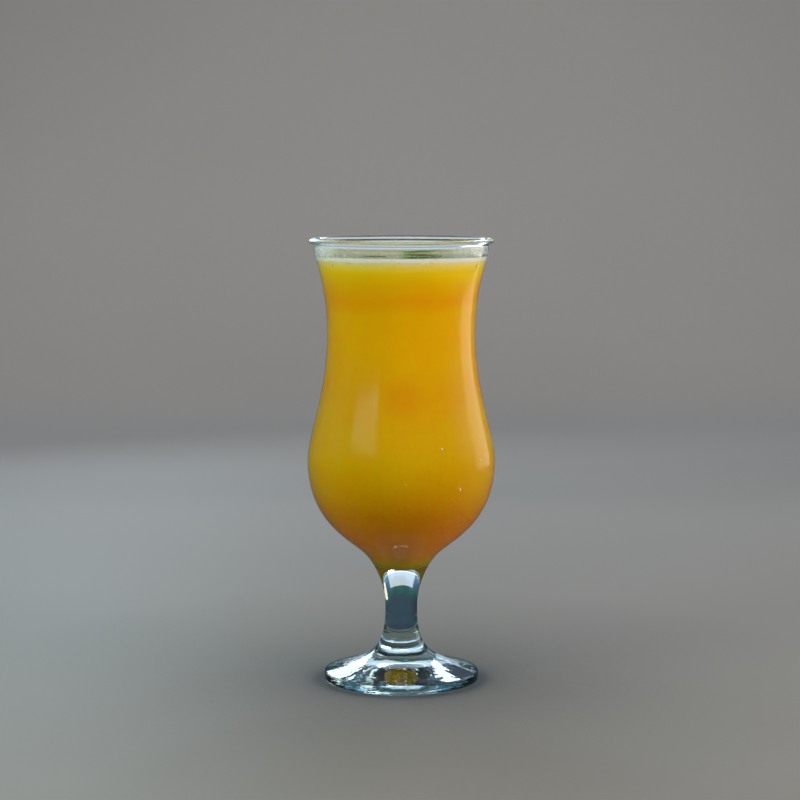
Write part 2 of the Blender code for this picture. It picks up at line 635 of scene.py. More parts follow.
@dataclass(frozen=True)
class ClearGlass(Finish):
    """Clear glass, faintly blue-green where it is thick, with the slight waves of pressed glass.

    It is a little fogged where the drink touches it, and dried froth films the wall over the froth.
    A faint pale coat on the top of the lip is a painted highlight.
    """

    name: str = "clear_glass_finish"
    slot: Optional[Slot] = Slot.GLASS
    shown: Colour = (0.86, 0.94, 0.95)
    index: float = 1.5
    tint: Colour = (0.975, 0.99, 0.99)
    lamp_tint: Colour = (0.90, 0.93, 0.93)
    depth_colour: Colour = (0.62, 0.86, 0.92)
    depth_density: float = 20.0
    waves: Grain = Grain(160.0, 2.0, stretch=(1.0, 1.0, 0.45))
    waves_to_foot: Fade = Fade(0.050, 0.012, 1.0, 3.0)
    wave_depth: float = 0.00008
    fog: Grain = Grain(55.0, 4.0, 0.6)
    fog_patches: Fade = Fade(0.35, 0.65, 0.121, 0.22)
    fog_heights: tuple[Fade, ...] = (
        Fade(0.0515, 0.0535),
        Fade(0.066, 0.078, 0.42, 1.0),
        Fade(0.186, 0.178),
    )
    film_colour: Colour = (0.95, 0.97, 1.0)
    film_rough: float = 0.45
    film: Grain = Grain(1300.0, 3.0, 0.6)
    film_flecks: Fade = Fade(0.36, 0.60, 0.25, 1.0)
    film_inside: Fade = Fade(0.0376, 0.0372)
    left_across: tuple[Fade, ...] = (Fade(-0.0245, -0.0330, 0.0, 0.95),)
    left_heights: tuple[Fade, ...] = (Fade(0.186, 0.188), Fade(0.1945, 0.1925))
    right_across: tuple[Fade, ...] = (Fade(0.018, 0.029, 0.0, 0.5), Fade(0.0372, 0.0358))
    right_heights: tuple[Fade, ...] = (Fade(0.188, 0.1895), Fade(0.1935, 0.1915))
    # Painted highlight: a faint, even pale coat on the top of the lip, all round.
    lip: Fade = Fade(0.1938, 0.1944, 0.0, 0.12)

    def covered(self, graph: Graph) -> Socket:
        """Gives how much the film of dried froth covers the glass, and how far a faint pale coat, a
        painted highlight, whitens the top of the lip.

        Args:
            graph: Tree of the material.

        Returns:
            The share that is covered.
        """
        x, _, z = graph.axes()
        sides = (
            (self.left_across, self.left_heights),
            (self.right_across, self.right_heights),
        )
        left, right = (
            graph.product(graph.within(x, *across), graph.within(z, *heights))
            for across, heights in sides
        )
        inside = graph.fade(graph.reach(), self.film_inside)
        flecks = graph.fade(graph.noise(self.film), self.film_flecks)
        cover = graph.product(graph.math("ADD", left, right), inside, flecks)
        # The top of the lip gets the pale coat of its painted highlight.
        return graph.math("MAXIMUM", cover, graph.fade(z, self.lip))

    def paint(self, graph: Graph) -> None:
        """Fills in the node tree."""
        z = graph.axes()[2]
        waves = graph.product(graph.noise(self.waves), graph.fade(z, self.waves_to_foot))
        patches = graph.fade(graph.noise(self.fog), self.fog_patches)
        glass = graph.matter(
            {
                "Base Color": self.tint,
                "Roughness": graph.product(graph.within(z, *self.fog_heights), patches),
                "IOR": self.index,
                "Transmission Weight": 1.0,
                "Normal": graph.bump(waves, 1.0, self.wave_depth),
            }
        )
        film = graph.matter({"Base Color": self.film_colour, "Roughness": self.film_rough})
        depth = graph.add(
            "VolumeAbsorption", {"Color": self.depth_colour, "Density": self.depth_density}
        ).outputs[0]
        solid = graph.mixed(self.covered(graph), glass, film)
        graph.finish(lets_lamps_through(graph, solid, self.lamp_tint), depth)


@dataclass(frozen=True)
class MangoPuree(Finish):
    """Thick mango smoothie: golden, with an orange band high up and soft level streaks. Its colour
    by height also holds painted shade that darkens the lower bowl and painted light that brightens
    the floor of the bowl.
    """

    name: str = "mango_puree"
    slot: Optional[Slot] = Slot.DRINK
    shown: Colour = (0.80, 0.42, 0.01)
    bottom: float = 0.0514
    top: float = 0.1820
    # Colours by height: partly the drink's own tones, partly painted shade in the lower bowl and
    # painted light at the floor of the bowl.
    layers: tuple[Layer, ...] = (
        (0.0530, (0.950, 0.600, 0.003)),
        (0.0575, (0.950, 0.340, 0.001)),
        (0.0640, (0.770, 0.222, 0.001)),
        (0.0710, (0.660, 0.206, 0.001)),
        (0.0770, (0.620, 0.222, 0.001)),
        (0.0830, (0.635, 0.281, 0.001)),
        (0.0880, (0.645, 0.322, 0.001)),
        (0.0985, (0.655, 0.376, 0.001)),
        (0.1100, (0.690, 0.382, 0.001)),
        (0.1200, (0.710, 0.374, 0.001)),
        (0.1290, (0.730, 0.358, 0.001)),
        (0.1400, (0.760, 0.400, 0.001)),
        (0.1500, (0.800, 0.400, 0.001)),
        (0.1600, (0.810, 0.413, 0.001)),
        (0.1646, (0.820, 0.420, 0.001)),
        (0.1696, (0.830, 0.355, 0.001)),
        (0.1747, (0.835, 0.438, 0.001)),
        (0.1798, (0.865, 0.510, 0.002)),
        (0.1812, (0.900, 0.555, 0.005)),
    )
    streaks: Grain = Grain(60.0, 4.0, stretch=(0.35, 0.35, 1.6))
    streak_reach: float = 0.008
    pulp: Grain = Grain(900.0, 4.0, 0.6, (0.7, 0.7, 1.3))
    pulp_share: Fade = Fade(0.35, 0.75, 0.0, 0.22)
    pulp_colour: Colour = (0.86, 0.50, 0.001)
    pulp_rough: Fade = Fade(0.3, 0.7, 0.32, 0.5)
    pulp_bump: float = 0.25
    pulp_depth: float = 0.0001
    cloud: Grain = Grain(38.0, 3.0, 0.5, (0.8, 0.8, 1.5))
    cloud_share: Fade = Fade(0.45, 0.70, 0.0, 0.22)
    cloud_colour: Colour = (0.76, 0.30, 0.001)
    spots: tuple[Place, ...] = (
        (0.001, -0.034, 0.1285),
        (-0.026, 0.028, 0.1020),
        (0.031, 0.020, 0.1350),
    )
    spot_share: Fade = Fade(0.011, 0.002, 0.0, 0.5)
    spot_colour: Colour = (0.74, 0.27, 0.001)
    index: float = 1.36
    specular: float = 0.1
    glow: float = 0.0020
    glow_radius: Colour = (1.0, 0.5, 0.1)
    glow_heights: Fade = Fade(0.181, 0.176)

    def paint(self, graph: Graph) -> None:
        """Fills in the node tree."""
        z = graph.axes()[2]
        height = graph.wandering(z, self.streaks, self.streak_reach)
        # Colour by height, with its painted shade in the lower bowl and painted light at the bottom.
        colour = graph.layered(height, self.bottom, self.top, self.layers)
        pulp = graph.noise(self.pulp)
        colour = graph.blend(graph.fade(pulp, self.pulp_share), colour, self.pulp_colour)
        cloud = graph.fade(graph.noise(self.cloud), self.cloud_share)
        colour = graph.blend(cloud, colour, self.cloud_colour)
        for spot in self.spots:
            near = graph.fade(graph.distance(spot), self.spot_share)
            colour = graph.blend(near, colour, self.spot_colour)
        surface = graph.matter(
            {
                "Base Color": colour,
                "Roughness": graph.fade(pulp, self.pulp_rough),
                "IOR": self.index,
                "Specular IOR Level": self.specular,
                "Subsurface Weight": graph.fade(z, self.glow_heights),
                "Subsurface Radius": self.glow_radius,
                "Subsurface Scale": self.glow,
                "Normal": graph.bump(pulp, self.pulp_bump, self.pulp_depth),
            }
        )
        graph.finish(surface)


@dataclass(frozen=True)
class FrothFoam(Finish):
    """Pale fine froth: mango yellow towards the drink, cream on top, with a painted reflection that
    greys the top where it is seen at a grazing angle.
    """

    name: str = "froth_foam"
    slot: Optional[Slot] = Slot.FROTH
    shown: Colour = (0.78, 0.72, 0.52)
    bottom: float = 0.1814
    top: float = 0.1874
    layers: tuple[Layer, ...] = (
        (0.1814, (0.90, 0.560, 0.005)),
        (0.1820, (0.90, 0.575, 0.010)),
        (0.1829, (0.90, 0.600, 0.035)),
        (0.1838, (0.90, 0.630, 0.080)),
        (0.1846, (0.90, 0.660, 0.150)),
        (0.1854, (0.90, 0.690, 0.250)),
        (0.1861, (0.90, 0.740, 0.420)),
        (0.1867, (0.90, 0.820, 0.620)),
    )
    wander: Grain = Grain(220.0, 3.0, 0.6)
    wander_reach: float = 0.0012
    patches: Grain = Grain(75.0, 4.0, 0.55)
    patch_colours: tuple[Layer, ...] = (
        (0.35, (0.90, 0.82, 0.58)),
        (0.55, (0.88, 0.75, 0.42)),
        (0.75, (0.85, 0.67, 0.27)),
    )
    turned_up: Fade = Fade(0.45, 0.80)
    grazing_reflection_blend: float = 0.5
    grazing_reflection_share: Fade = Fade(0.80, 0.93)
    # Painted reflection: the grey-green that the top turns to where it is seen at a grazing angle.
    painted_grazing_reflection: Colour = (0.45, 0.47, 0.32)
    edge: float = 0.0360
    by_wall_from: float = 0.0012
    by_wall_to: float = 0.0005
    by_wall_heights: Fade = Fade(0.1860, 0.1866)
    by_wall_colour: Colour = (0.90, 0.86, 0.86)
    fine_cells: float = 2400.0
    fine_share: float = 0.4
    coarse_cells: float = 750.0
    coarse_smooth: float = 0.4
    speckle_share: Fade = Fade(0.25, 0.9, 0.0, 0.22)
    speckle_heights: Fade = Fade(0.1839, 0.1859)
    speckle_colour: Colour = (0.66, 0.58, 0.30)
    rough: Fade = Fade(0.1, 0.7, 0.28, 0.6)
    index: float = 1.34
    specular: float = 0.12
    glow: float = 0.0008
    glow_radius: Colour = (1.0, 0.8, 0.4)
    glow_heights: Fade = Fade(0.1834, 0.1854)
    bump: float = 0.5
    bump_depth: float = 0.00025

    def upper(self, graph: Graph) -> Socket:
        """Gives the colour of the froth's top, with its painted reflection at grazing angles.

        Args:
            graph: Tree of the material.

        Returns:
            The colour.
        """
        cream = graph.ramp(graph.noise(self.patches), self.patch_colours)
        # Painted reflection: the top greys where it is seen at a grazing angle.
        flat = graph.fade(graph.facing(self.grazing_reflection_blend), self.grazing_reflection_share)
        return graph.blend(flat, cream, self.painted_grazing_reflection)

    def paint(self, graph: Graph) -> None:
        """Fills in the node tree."""
        z = graph.axes()[2]
        height = graph.wandering(z, self.wander, self.wander_reach)
        colour = graph.layered(height, self.bottom, self.top, self.layers)
        normal = graph.split(graph.add("TexCoord").outputs["Normal"])
        colour = graph.blend(graph.fade(normal[2], self.turned_up), colour, self.upper(graph))
        ring = Fade(self.edge - self.by_wall_from, self.edge - self.by_wall_to)
        by_wall = graph.product(
            graph.fade(graph.reach(), ring), graph.fade(height, self.by_wall_heights)
        )
        colour = graph.blend(by_wall, colour, self.by_wall_colour)
        fine = graph.cells(self.fine_cells)
        coarse = graph.cells(self.coarse_cells, self.coarse_smooth)
        relief = graph.math("MULTIPLY_ADD", fine, self.fine_share, coarse)
        speckled = graph.product(
            graph.fade(relief, self.speckle_share), graph.fade(height, self.speckle_heights)
        )
        raised = graph.math("SUBTRACT", 1.0, relief)
        surface = graph.matter(
            {
                "Base Color": graph.blend(speckled, colour, self.speckle_colour),
                "Roughness": graph.fade(fine, self.rough),
                "IOR": self.index,
                "Specular IOR Level": self.specular,
                "Subsurface Weight": graph.fade(z, self.glow_heights),
                "Subsurface Radius": self.glow_radius,
                "Subsurface Scale": self.glow,
                "Normal": graph.bump(raised, self.bump, self.bump_depth),
            }
        )
        graph.finish(surface)


@dataclass(frozen=True)
class BubbleFilm(Finish):
    """Thin wet film of a bubble: clear in the middle, whiter towards its rim."""

    name: str = "bubble_film"
    slot: Optional[Slot] = Slot.FROTH
    shown: Colour = (0.85, 0.85, 0.75)
    clear: Colour = (0.97, 0.97, 0.95)
    thin: Colour = (0.80, 0.80, 0.62)
    thick: Colour = (0.86, 0.80, 0.50)
    patches: Grain = Grain(1800.0, 2.0)
    patch_share: Fade = Fade(0.2, 0.6, 0.75, 1.0)
    rim_blend: float = 0.45
    rim_share: Fade = Fade(0.1, 0.9, 0.18, 0.85)
    rough: float = 0.08
    index: float = 1.34
    wet_rough: float = 0.03

    def paint(self, graph: Graph) -> None:
        """Fills in the node tree."""
        patches = graph.noise(self.patches)
        rim = graph.fade(graph.facing(self.rim_blend), self.rim_share)
        share = graph.product(rim, graph.fade(patches, self.patch_share))
        clear = graph.add("BsdfTransparent", {"Color": self.clear}).outputs[0]
        film = graph.matter(
            {
                "Base Color": graph.blend(patches, self.thin, self.thick),
                "Roughness": self.rough,
                "IOR": self.index,
                "Coat Weight": 1.0,
                "Coat Roughness": self.wet_rough,
            }
        )
        graph.finish(graph.mixed(share, clear, film))


@dataclass(frozen=True)
class WaterBead(Finish):
    """Water of a small bead on the outside of the glass, mostly clear, with a share of flat white
    that paints a highlight on it.
    """

    name: str = "water_bead"
    slot: Optional[Slot] = Slot.GLASS
    shown: Colour = (0.9, 0.95, 0.95)
    tint: Colour = (0.98, 0.99, 0.99)
    lamp_tint: Colour = (0.95, 0.96, 0.96)
    index: float = 1.33
    # Share that is clear water; the rest is flat white, a painted highlight.
    clear_beside_painted_highlight: float = 0.8
    waves: Grain = Grain(2500.0, 1.0)
    wave_bump: float = 0.3
    wave_depth: float = 0.00002

    def paint(self, graph: Graph) -> None:
        """Fills in the node tree."""
        water = graph.matter(
            {
                "Base Color": self.tint,
                "Roughness": 0.0,
                "IOR": self.index,
                "Transmission Weight": self.clear_beside_painted_highlight,
                "Normal": graph.bump(graph.noise(self.waves), self.wave_bump, self.wave_depth),
            }
        )
        graph.finish(lets_lamps_through(graph, water, self.lamp_tint))


@dataclass(frozen=True)
class MintSkin(Finish):
    """Fresh mint leaf, wet, with a paler midrib and side veins. A share of paler green paints light
    onto leaves whose edges lie in shade.
    """

    name: str = "mint_skin"
    slot: Optional[Slot] = Slot.MINT
    shown: Colour = (0.12, 0.25, 0.05)
    length: float = 0.02
    width: float = 0.01
    veins: float = 7.0
    sweep: float = 0.672
    # Share of painted light: the paler green below, which lifts a leaf that lies in shade.
    covered: float = 0.0
    dark: Colour = (0.150, 0.280, 0.060)
    light: Colour = (0.260, 0.390, 0.125)
    light_from: float = 0.6
    vein: Colour = (0.400, 0.520, 0.220)
    # Paler, brighter green of the painted light that lifts shaded leaves.
    froth: Colour = (0.470, 0.620, 0.280)
    side_veins: Fade = Fade(0.0, 0.10, 0.75, 0.0)
    midrib: Fade = Fade(0.03, 0.10, 1.0, 0.0)
    vein_share: float = 0.8
    vein_groove: float = 0.6
    mottle: Grain = Grain(420.0, 4.0, 0.6)
    mottle_share: Fade = Fade(0.3, 0.7)
    rough: Fade = Fade(0.3, 0.7, 0.25, 0.45)
    crumple: float = 1500.0
    crumple_smooth: float = 0.6
    specular: float = 0.15
    glow_weight: float = 0.35
    glow: float = 0.0006
    glow_radius: Colour = (0.5, 1.0, 0.2)
    bump: float = 0.5
    bump_depth: float = 0.00015

    def vein_lines(self, graph: Graph) -> Socket:
        """Gives where the midrib and the slanting side veins run.

        Args:
            graph: Tree of the material.

        Returns:
            From 0 beside a vein to 1 on the midrib.
        """
        x, y, _ = graph.axes()
        across = graph.math("DIVIDE", graph.math("ABSOLUTE", y), self.width / 2)
        along = graph.math("DIVIDE", x, self.length)
        slant = graph.product(across, self.sweep / self.veins)
        turns = graph.product(graph.math("SUBTRACT", along, slant), self.veins)
        sides = graph.fade(graph.math("PINGPONG", turns, 0.5), self.side_veins)
        return graph.math("MAXIMUM", sides, graph.fade(across, self.midrib))

    def paint(self, graph: Graph) -> None:
        """Fills in the node tree."""
        veins = self.vein_lines(graph)
        mottle = graph.noise(self.mottle)
        tones = ((0.0, self.dark), (self.light_from, self.light), (1.0, self.light))
        colour = graph.ramp(graph.fade(mottle, self.mottle_share), tones)
        colour = graph.blend(graph.product(veins, self.vein_share), colour, self.vein)
        crumple = graph.cells(self.crumple, self.crumple_smooth)
        relief = graph.math("SUBTRACT", crumple, graph.product(veins, self.vein_groove))
        surface = graph.matter(
            {
                # Painted light: paler green, by the share set for the leaf.
                "Base Color": graph.blend(self.covered, colour, self.froth),
                "Roughness": graph.fade(mottle, self.rough),
                "Specular IOR Level": self.specular,
                "Subsurface Weight": self.glow_weight,
                "Subsurface Radius": self.glow_radius,
                "Subsurface Scale": self.glow,
                "Normal": graph.bump(relief, self.bump, self.bump_depth),
            }
        )
        graph.finish(surface)


@dataclass(frozen=True)
class PaleFloor(Finish):
    """Plain pale grey floor with a very faint unevenness, and painted shade from ambient occlusion
    in corners and round the foot.
    """

    name: str = "pale_floor"
    colour: Colour = (0.254, 0.234, 0.229)
    cloud: Grain = Grain(1.6)
    cloud_share: Fade = Fade(0.3, 0.7)
    cloud_dark: float = 0.90
    shade: Fade = Fade(0.70, 0.99, 0.12, 1.0)
    shade_reach: float = 0.19
    under_foot: Fade = Fade(0.034, 0.031)
    rough: float = 0.6
    specular: float = 0.3

    def paint(self, graph: Graph) -> None:
        """Fills in the node tree."""
        cloud = graph.fade(graph.noise(self.cloud), self.cloud_share)
        darker = tuple(self.cloud_dark * part for part in self.colour)
        colour = graph.blend(cloud, self.colour, darker)
        # Painted shade: ambient occlusion darkens the floor in corners and round the foot, but not
        # under it.
        open_sky = graph.add("AmbientOcclusion", {"Distance": self.shade_reach}).outputs["AO"]
        under = graph.fade(graph.reach(), self.under_foot)
        light = graph.math("MAXIMUM", graph.fade(open_sky, self.shade), under)
        inputs = {"Roughness": self.rough, "Specular IOR Level": self.specular}
        inputs["Base Color"] = graph.blend(light, BLACK, colour)
        graph.finish(graph.matter(inputs))


def new_piece(
    name: str, mesh: bpy.types.Mesh, finish: Finish, nodes: Sequence[Node] = ()
) -> bpy.types.Object:
    """Makes a piece of the drink, dressed, and tells the frame about it.

    Args:
        name: Name of the piece.
        mesh: Its mesh.
        finish: Its finish.
        nodes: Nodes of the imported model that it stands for.

    Returns:
        The piece.
    """
    mesh.materials.append(finish.material())
    piece = placed(name, mesh)
    announce(piece, finish, nodes)
    return piece


def announce(piece: bpy.types.Object, finish: Finish, nodes: Sequence[Node] = ()) -> None:
    """Lets a piece ride on the model's body and reports it.

    Args:
        piece: The piece, in place.
        finish: Its finish.
        nodes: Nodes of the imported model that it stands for.
    """
    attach(piece, BODY)
    if nodes:
        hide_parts(*(node.value for node in nodes))
    LOG.info("%s: %d faces, finish %s", piece.name, len(piece.data.polygons), finish.name)


@dataclass
class TulipSection:
    """Section of the glass: its outer and inner walls, lip, foot and underside."""

    height: float = 0.195
    lip_top: Knot = Knot(0.0386, 0.195, 90, 0.0013, 0.0008)
    lip_tip: Knot = Knot(0.0401, 0.1938, 0, 0.0006, 0.0006)
    lip_under: Knot = Knot(0.0389, 0.1927, -88, 0.0006, 0.0004)
    neck: Knot = Knot(0.0380, 0.1915, 0, 0.0005, 0.0010)
    mouth: Knot = Knot(0.0380, 0.1888, -15, 0.0010, 0.0060)
    waist: Knot = Knot(0.0324, 0.1530, 0, 0.0190, 0.0240)
    bulb: Knot = Knot(0.0412, 0.0980, 0, 0.0096, 0.0278)
    bulb_base: Knot = Knot(0.0160, 0.0562, -44, 0.0090, 0.0041)
    stem: Knot = Knot(0.0070, 0.0322, 0, 0.0123, 0.0184)
    foot_radius: float = 0.034
    foot_edge: float = 0.0043
    foot_corner: float = 0.0008
    foot_slope: float = 75
    foot_sweep: float = 0.0225
    mouth_wall: float = 0.0019
    waist_wall: float = 0.0020
    bulb_wall: float = 0.0022
    lip_inner: Knot = Knot(0.0366, 0.1924, -8, 0.0018, 0.0010)
    floor_height: float = 0.0515
    floor_flat: float = 0.010
    ring_inner: float = 0.027
    ring_turn: float = 0.010
    dome_height: float = 0.0024
    dome_flat: float = 0.012
    inner_steps: tuple[int, ...] = (5, 16, 20, 30)
    lip_steps: tuple[int, ...] = (8, 8, 8, 5)
    outer_steps: tuple[int, ...] = (5, 16, 20, 24, 14, 28)
    corner_steps: int = 6
    dome_steps: int = 18

    def inner_wall(self) -> list[Point]:
        """Samples the inside of the glass.

        Returns:
            Points from the lip down to the middle of the floor.
        """
        mouth = self.mouth._replace(radius=self.mouth.radius - self.mouth_wall)
        waist = self.waist._replace(radius=self.waist.radius - self.waist_wall)
        bulb = self.bulb._replace(radius=self.bulb.radius - self.bulb_wall)
        floor = Knot(0.0, self.floor_height, -90, self.floor_flat, 0.0)
        points = chain((self.lip_inner, mouth, waist, bulb, floor), self.inner_steps)
        return points + [(0.0, self.floor_height)]

    def lip(self) -> list[Point]:
        """Samples the rounded lip.

        Returns:
            Points from its inner side over the top to the neck under it, without either end.
        """
        inner = self.lip_inner
        rising = inner._replace(heading=inner.heading + 180, after=inner.before)
        knots = (rising, self.lip_top, self.lip_tip, self.lip_under, self.neck)
        return chain(knots, self.lip_steps)[1:]

    def corner(self, height: float, first: float, last: float) -> list[Point]:
        """Samples a rounded corner of the foot's edge.

        Args:
            height: Height of the corner's middle.
            first: Angle that it starts at, in degrees.
            last: Angle that it ends at.

        Returns:
            Its points.
        """
        middle = (self.foot_radius - self.foot_corner, height)
        return arc(middle, self.foot_corner, first, last, self.corner_steps)

    def outer_wall(self) -> list[Point]:
        """Samples the outside of the glass.

        Returns:
            Points from the neck down to the ring that it stands on.
        """
        upper = self.corner(self.foot_edge - self.foot_corner, self.foot_slope, 0)
        lower = self.corner(self.foot_corner, 0, -90)
        foot_top = Knot(*upper[0], self.foot_slope, self.foot_sweep, 0.0)
        knots = (
            self.neck,
            self.mouth,
            self.waist,
            self.bulb,
            self.bulb_base,
            self.stem,
            foot_top,
        )
        return chain(knots, self.outer_steps) + upper + lower

    def underside(self) -> list[Point]:
        """Samples the flat ring and the shallow dome inside it.

        Returns:
            Points that end at the middle.
        """
        ring = Knot(self.ring_inner, 0.0, -90, 0.0, self.ring_turn)
        centre = Knot(0.0, self.dome_height, -90, self.dome_flat, 0.0)
        return span(ring, centre, self.dome_steps)

    def outline(self) -> list[Point]:
        """Returns the whole section, from the floor of the bowl round to the underside."""
        return self.inner_wall()[::-1] + self.lip() + self.outer_wall() + self.underside()


@dataclass
class Goblet:
    """The glass, one piece from its lip to its foot."""

    section: TulipSection
    steps: int = 144
    unevenness: float = 0.00009
    uneven_below: float = 0.0560
    even_within: float = 0.002
    upper_fade: float = 0.012
    lower_fade: float = 0.002
    lumps_round: float = 1.3
    lumps_up: float = 90.0

    def relief(self, radius: float, height: float, turn: float) -> Point:
        """Gives the slight unevenness of the pressed stem and foot.

        Args:
            radius: Radius of the point.
            height: Its height.
            turn: Its angle round the axis.

        Returns:
            The changes of its radius and height.
        """
        lowest = self.section.foot_edge
        if not lowest <= height <= self.uneven_below or radius < self.even_within:
            return 0.0, 0.0
        fade = min(1.0, (self.uneven_below - height) / self.upper_fade)
        fade *= min(1.0, (height - lowest) / self.lower_fade)
        across = Vector((math.cos(turn), math.sin(turn), 0.0)) * self.lumps_round
        spot = across + Vector((0.0, 0.0, height * self.lumps_up))
        return self.unevenness * fade * noise.noise(spot), 0.0

    def build(self) -> None:
        """Builds and dresses the glass."""
        mesh = lathe("goblet", self.section.outline(), self.steps, self.relief)
        new_piece("goblet", mesh, ClearGlass(), [Node.GLASS])


@dataclass
class Smoothie:
    """The drink, from the floor of the bowl up to the froth."""

    section: TulipSection
    level: float = 0.1820
    into_wall: float = 0.00007
    covered: float = 0.00025
    steps: int = 128

    def build(self) -> None:
        """Builds and dresses the drink."""
        wall = shifted(self.section.inner_wall(), self.into_wall)
        rim = radius_at(wall, self.level)
        under = self.level - self.covered
        outline = [(0.0, self.level), (rim / 2, self.level), (rim, self.level)]
        outline.append((radius_at(wall, under), under))
        outline += [point for point in wall if point[1] < under]
        new_piece("smoothie", lathe("smoothie", outline, self.steps), MangoPuree(), [Node.DRINK])


@dataclass
class Bubble:
    """A bubble on the froth: where it stands and how big it is."""

    x: float
    y: float
    size: float

    def meets(self, other: "Bubble", overlap: float) -> bool:
        """Tells whether it comes too near to another.

        Args:
            other: The other bubble.
            overlap: Share of the two radii that has to lie between them.

        Returns:
            Whether it does.
        """
        apart = math.hypot(self.x - other.x, self.y - other.y)
        return apart < overlap * (self.size + other.size)


@dataclass
class FrothLayer:
    """The froth: a pale layer with an uneven top, a raised edge and bubbles of many sizes."""

    section: TulipSection
    level: float = 0.1870
    bottom: float = 0.1817
    into_wall: float = 0.00010
    climb: float = 0.0008
    climb_width: float = 0.0016
    tuck: float = 0.00005
    steps: int = 168
    rings: int = 62
    side_step: float = 0.0006
    side_steps: int = 9
    swell: float = 0.00016
    swell_scale: float = 230.0
    swell_octaves: tuple[Point, ...] = ((1.0, 1.0), (2.3, 0.5), (5.1, 0.25))
    calm_by_wall: float = 0.15
    bubbles: int = 620
    least_bubble: float = 0.00018
    most_bubble: float = 0.00062
    size_range: Point = (0.8, 1.15)
    tries: int = 20
    share_by_wall: float = 0.45
    crowding: float = 0.0022
    wall_gap: float = 1.05
    overlap: float = 0.85
    sunk: float = 0.1
    dome_height: float = 0.8
    seed: int = 7
    wall: list[Point] = field(init=False)
    edge: float = field(init=False)

    def __post_init__(self) -> None:
        """Reads the wall that the froth fills and its outer radius."""
        self.wall = shifted(self.section.inner_wall(), self.into_wall)
        self.edge = radius_at(self.wall, self.level + self.climb)

    def rise(self, radius: float) -> float:
        """Gives how far the froth climbs near the glass.

        Args:
            radius: Distance from the axis.

        Returns:
            The rise above its level.
        """
        share = max(0.0, 1 - (self.edge - radius) / self.climb_width)
        return self.climb * share**2

    def top(self, x: float, y: float) -> float:
        """Gives the height of the froth's top.

        Args:
            x: Place along X.
            y: Place along Y.

        Returns:
            The height there.
        """
        radius = math.hypot(x, y)
        spot = Vector((x, y, 0.0)) * self.swell_scale
        swell = sum(share * noise.noise(spot * scale) for scale, share in self.swell_octaves)
        calm = max(self.calm_by_wall, min(1.0, (self.edge - radius) / (2 * self.climb_width)))
        return self.level + self.rise(radius) + self.swell * swell * calm

    def body(self) -> None:
        """Builds the froth itself."""
        inside = [(self.edge * ring / self.rings, self.level) for ring in range(self.rings + 1)]
        top = self.level + self.climb
        heights = [top - self.side_step * step for step in range(1, self.side_steps + 1)]
        ledge = self.bottom + self.tuck
        heights = [z for z in heights if z > ledge + 3 * self.tuck] + [ledge + self.tuck, ledge]
        side = [(radius_at(self.wall, z), z) for z in heights]
        side.append((radius_at(self.wall, self.bottom) - self.tuck, self.bottom))
        outline = inside + side + [(side[-1][0] / 2, self.bottom), (0.0, self.bottom)]

        def relief(radius: float, height: float, turn: float) -> Point:
            """Raises the points of the top."""
            if height != self.level:
                return 0.0, 0.0
            return 0.0, self.top(radius * math.cos(turn), radius * math.sin(turn)) - self.level

        mesh = lathe("froth_layer", outline, self.steps, relief)
        new_piece("froth_layer", mesh, FrothFoam(edge=self.edge), [Node.FROTH])

    def scatter(self) -> list[Bubble]:
        """Places the bubbles, larger ones first, crowded towards the glass.

        Returns:
            The bubbles, none inside another.
        """
        draw = random.Random(self.seed)
        bubbles: list[Bubble] = []
        for number in range(self.bubbles):
            share = (1 - number / self.bubbles) ** 3
            size = self.least_bubble + (self.most_bubble - self.least_bubble) * share
            size *= draw.uniform(*self.size_range)
            for _ in range(self.tries):
                by_wall = draw.random() < self.share_by_wall
                inward = abs(draw.gauss(0.0, self.crowding)) if by_wall else 0.0
                reach = self.edge - size * self.wall_gap - inward
                if not by_wall:
                    reach *= math.sqrt(draw.random())
                turn = draw.uniform(0, math.tau)
                bubble = Bubble(reach * math.cos(turn), reach * math.sin(turn), size)
                if not any(bubble.meets(other, self.overlap) for other in bubbles):
                    bubbles.append(bubble)
                    break
        return bubbles

    def domes(self) -> None:
        """Builds the bubbles that stand on the froth."""
        domes = []
        for bubble in self.scatter():
            x, y, size = bubble.x, bubble.y, bubble.size
            middle = Matrix.Translation((x, y, self.top(x, y) - size * self.sunk))
            domes.append(middle @ Matrix.Diagonal((size, size, size * self.dome_height, 1.0)))
        mesh = dome_mesh("froth_bubbles", domes, rings=4, sides=14)
        new_piece("froth_bubbles", mesh, BubbleFilm())

    def build(self) -> None:
        """Builds the froth and its bubbles."""
        self.body()
        self.domes()


